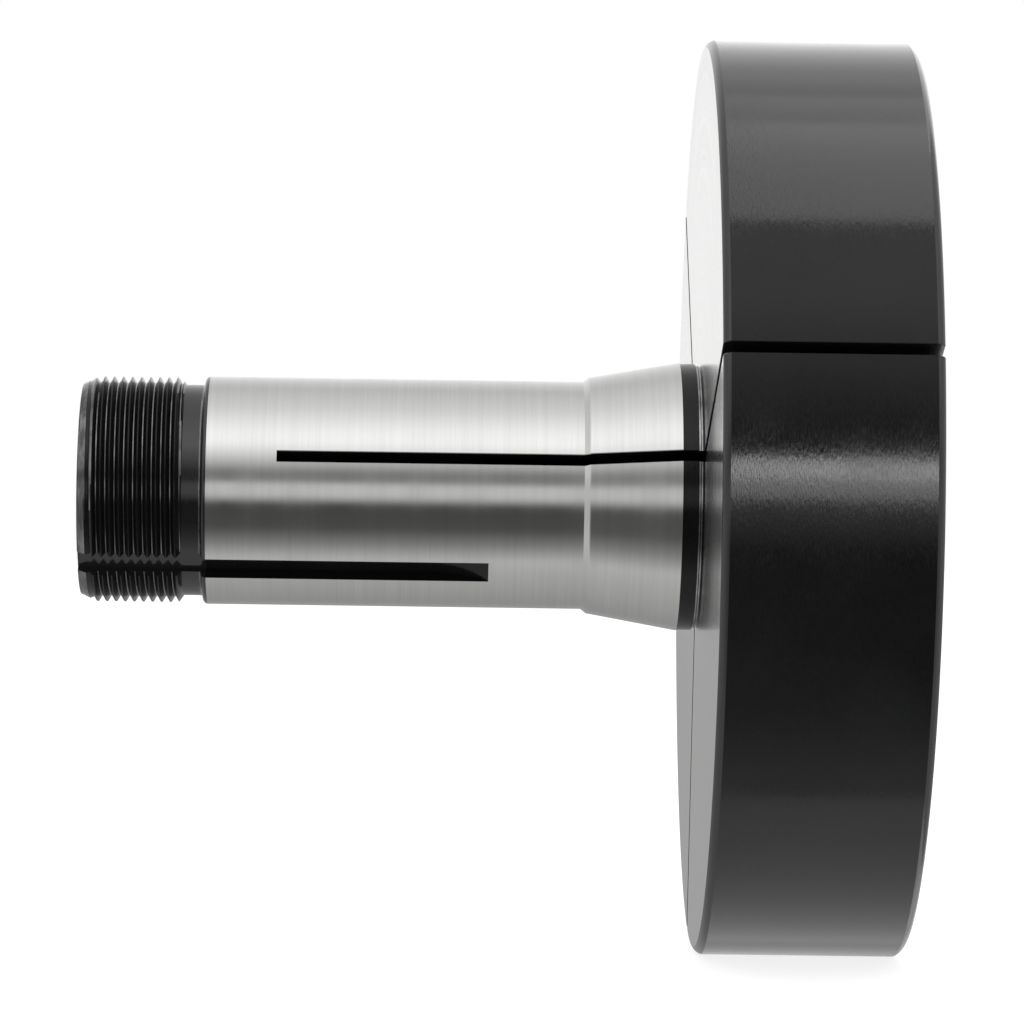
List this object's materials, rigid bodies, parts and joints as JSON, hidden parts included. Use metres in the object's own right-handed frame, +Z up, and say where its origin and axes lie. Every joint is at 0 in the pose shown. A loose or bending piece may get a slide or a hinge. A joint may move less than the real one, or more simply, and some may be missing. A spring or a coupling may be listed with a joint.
{
  "type": "step chuck collet",
  "caption": "Spindle collet with a threaded, keyed, ground shank, a closing cone and a large round head split into three sprung jaws, with loose spacer pins.",
  "frame": {"origin": "on the collet's axis, where the ground shank ends and the closing cone begins", "axes": "+X along the axis and out of the work face, +Z up as the collet is shown, the keyway on the -Y side and 43.4 degrees below level"},
  "size_m": [0.1145, 0.1274, 0.1274],
  "materials": {
    "thread_black": "black oxide on a cut thread, semi-gloss",
    "ground_steel": "cylindrically ground steel with fine marks around the axis",
    "black_oxide": "black oxide on a turned head, satin; faces turned bright",
    "pin_steel": "polished dowel pin"
  },
  "bodies": {
    "sleeve": {"threaded_tail": "thread_black", "back_bearing": "ground_steel"},
    "jaw_1": {"spring_leaf_1": "ground_steel", "front_land_1": "ground_steel", "closing_cone_1": "ground_steel", "head_neck_1": "black_oxide", "head_jaw_1": "black_oxide"},
    "jaw_2": {"spring_leaf_2": "ground_steel", "front_land_2": "ground_steel", "closing_cone_2": "ground_steel", "head_neck_2": "black_oxide", "head_jaw_2": "black_oxide"},
    "jaw_3": {"spring_leaf_3": "ground_steel", "front_land_3": "ground_steel", "closing_cone_3": "ground_steel", "head_neck_3": "black_oxide", "head_jaw_3": "black_oxide"},
    "pin_1": {"spacer_pin_1": "pin_steel"},
    "pin_2": {"spacer_pin_2": "pin_steel"},
    "pin_3": {"spacer_pin_3": "pin_steel"}
  },
  "joints": [
    {"name": "jaw_1_flex", "type": "hinge", "parent": "sleeve", "child": "jaw_1", "pos_m": [-0.04225, -0.00494, -0.00453], "axis": [0, 0.6756, -0.7373], "range_deg": [-0.22, 0], "stiffness_Nm_per_rad": 1500},
    {"name": "jaw_2_flex", "type": "hinge", "parent": "sleeve", "child": "jaw_2", "pos_m": [-0.04225, 0.00639, -0.00201], "axis": [0, 0.3007, 0.9537], "range_deg": [-0.22, 0], "stiffness_Nm_per_rad": 1500},
    {"name": "jaw_3_flex", "type": "hinge", "parent": "sleeve", "child": "jaw_3", "pos_m": [-0.04225, -0.00145, 0.00654], "axis": [0, -0.9763, -0.2164], "range_deg": [-0.22, 0], "stiffness_Nm_per_rad": 1500},
    {"name": "pin_1_slide", "type": "slide", "parent": "jaw_1", "child": "pin_1", "axis": [1, 0, 0], "range_m": [0, 0.02]},
    {"name": "pin_2_slide", "type": "slide", "parent": "jaw_2", "child": "pin_2", "axis": [1, 0, 0], "range_m": [0, 0.02]},
    {"name": "pin_3_slide", "type": "slide", "parent": "jaw_3", "child": "pin_3", "axis": [1, 0, 0], "range_m": [0, 0.02]}
  ],
  "couplings": [
    {"joint": "jaw_2_flex", "follows": "jaw_1_flex", "ratio": 1},
    {"joint": "jaw_3_flex", "follows": "jaw_1_flex", "ratio": 1}
  ]
}
